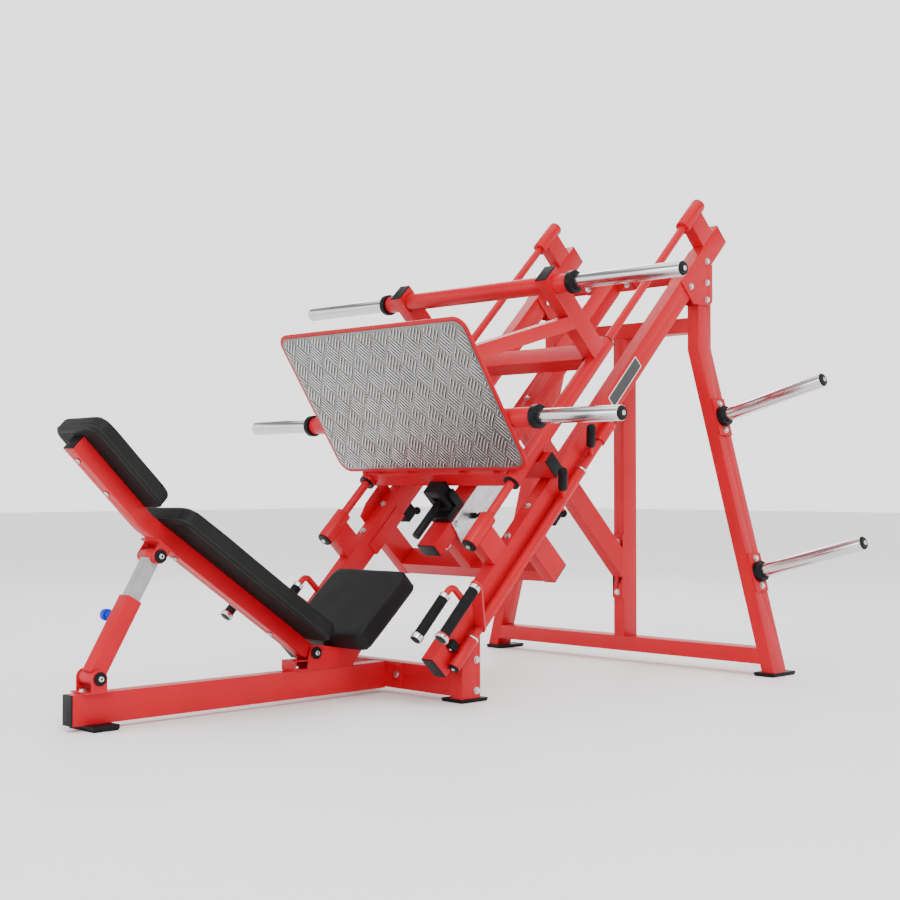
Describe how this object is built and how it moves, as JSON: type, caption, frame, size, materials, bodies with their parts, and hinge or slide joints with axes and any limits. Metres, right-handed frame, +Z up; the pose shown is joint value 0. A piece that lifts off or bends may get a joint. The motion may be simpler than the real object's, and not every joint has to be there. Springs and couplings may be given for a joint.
{
  "type": "leg press machine",
  "caption": "Plate-loaded sloping leg press: sliding carriage with foot plate on guide rods, safety levers, hinged backrest and plate storage horns.",
  "frame": {"origin": "centre of the footprint box at floor level", "axes": "+X points to the rear of the machine, the way the feet push; +Z is up; +Y is to the left when looking along +X"},
  "size_m": [2.6368, 2.1388, 1.787],
  "materials": {
    "red_paint": "glossy powder coat",
    "black_paint": "satin powder coat",
    "chrome": "polished",
    "zinc_steel": "bright zinc",
    "tread_steel": "raised tread pattern",
    "black_plastic": "satin",
    "rubber": "matt, fine ribs on the grips",
    "pad_vinyl": "satin upholstery vinyl",
    "board": "black painted plywood",
    "blue_plastic": "gloss"
  },
  "bodies": {
    "frame": {"base_beam": "red_paint", "front_cross_beam": "red_paint", "front_posts": "red_paint", "rails": "red_paint", "rail_gussets": "red_paint", "rod_supports": "red_paint", "guide_rods": "red_paint", "drop_posts": "red_paint", "lower_cross_tube": "red_paint", "upper_cross_tube": "red_paint", "centre_beam": "red_paint", "rack_plate": "zinc_steel", "rear_legs": "red_paint", "rear_crossbars": "red_paint", "rear_centre_post": "red_paint", "diagonal_brace": "red_paint", "storage_flanges": "red_paint", "storage_horns": "chrome", "storage_collars": "black_plastic", "foot_plates": "black_paint", "rubber_feet": "rubber", "frame_end_caps": "black_plastic", "frame_bolts": "zinc_steel", "shaft_sleeves": "red_paint", "assist_grip_tubes": "red_paint", "assist_grip_rubbers": "rubber", "grip_collars": "chrome", "stop_pads": "rubber", "stop_block": "black_plastic", "pivot_bolts": "black_plastic", "strut_bracket": "red_paint", "seat_bracket": "red_paint", "seat_board": "board", "seat_pad": "pad_vinyl"},
    "carriage": {"carriage_sleeves": "red_paint", "carriage_bearings": "black_plastic", "carriage_uprights": "red_paint", "carriage_cross_tubes": "red_paint", "horn_bars": "red_paint", "carriage_braces": "red_paint", "foot_plate": "red_paint", "tread_plate": "tread_steel", "carriage_horns": "chrome", "carriage_collars": "black_plastic", "carriage_end_caps": "black_plastic", "carriage_bolts": "zinc_steel"},
    "right_safety": {"safety_shaft_right": "red_paint", "safety_rubbers_right": "rubber"},
    "left_safety": {"safety_shaft_left": "red_paint", "safety_rubbers_left": "rubber"},
    "backrest": {"backrest_beam": "red_paint", "back_pad": "pad_vinyl", "headrest_pad": "pad_vinyl", "pad_boards": "board", "backrest_bolts": "black_plastic"},
    "strut_tube": {"strut_outer": "red_paint"},
    "strut_rod": {"strut_inner": "chrome"},
    "strut_plunger": {"pop_pin": "blue_plastic"},
    "stop_lever": {"stop_handle": "black_plastic"},
    "beam_plunger": {"pull_pin": "black_plastic"}
  },
  "joints": [
    {"name": "carriage_slide", "type": "slide", "parent": "frame", "child": "carriage", "axis": [0.7009, 0, 0.7133], "range_m": [0, 0.6]},
    {"name": "right_safety_lever", "type": "hinge", "parent": "frame", "child": "right_safety", "pos_m": [0.05874, -0.412, 0.37303], "axis": [-0.7009, 0, -0.7133], "range_deg": [0, 32]},
    {"name": "left_safety_lever", "type": "hinge", "parent": "frame", "child": "left_safety", "pos_m": [0.05874, 0.412, 0.37303], "axis": [0.7009, 0, 0.7133], "range_deg": [0, 32]},
    {"name": "backrest_tilt", "type": "hinge", "parent": "frame", "child": "backrest", "pos_m": [-0.4385, 0, 0.158], "axis": [0, 1, 0], "range_deg": [-4, 8]},
    {"name": "strut_swing", "type": "hinge", "parent": "frame", "child": "strut_tube", "pos_m": [-1.2365, 0, 0.147], "axis": [0, 1, 0], "range_deg": [-1, 1]},
    {"name": "strut_extend", "type": "slide", "parent": "strut_tube", "child": "strut_rod", "axis": [0.5059, 0, 0.8626], "range_m": [-0.049, 0.0975]},
    {"name": "strut_plunger_pull", "type": "slide", "parent": "strut_tube", "child": "strut_plunger", "axis": [0, 1, 0], "range_m": [0, 0.01], "stiffness_N_per_m": 600, "springref_m": -0.004},
    {"name": "stop_lever_lift", "type": "hinge", "parent": "frame", "child": "stop_lever", "pos_m": [0.14556, 0, 0.63402], "axis": [0, 1, 0], "range_deg": [0, 25]},
    {"name": "beam_plunger_pull", "type": "slide", "parent": "frame", "child": "beam_plunger", "axis": [0, -1, 0], "range_m": [0, 0.012], "stiffness_N_per_m": 600, "springref_m": -0.004}
  ],
  "couplings": [
    {"joint": "strut_swing", "follows": "backrest_tilt", "ratio": 0.014},
    {"joint": "strut_extend", "follows": "backrest_tilt", "m_per_rad": 0.682}
  ]
}
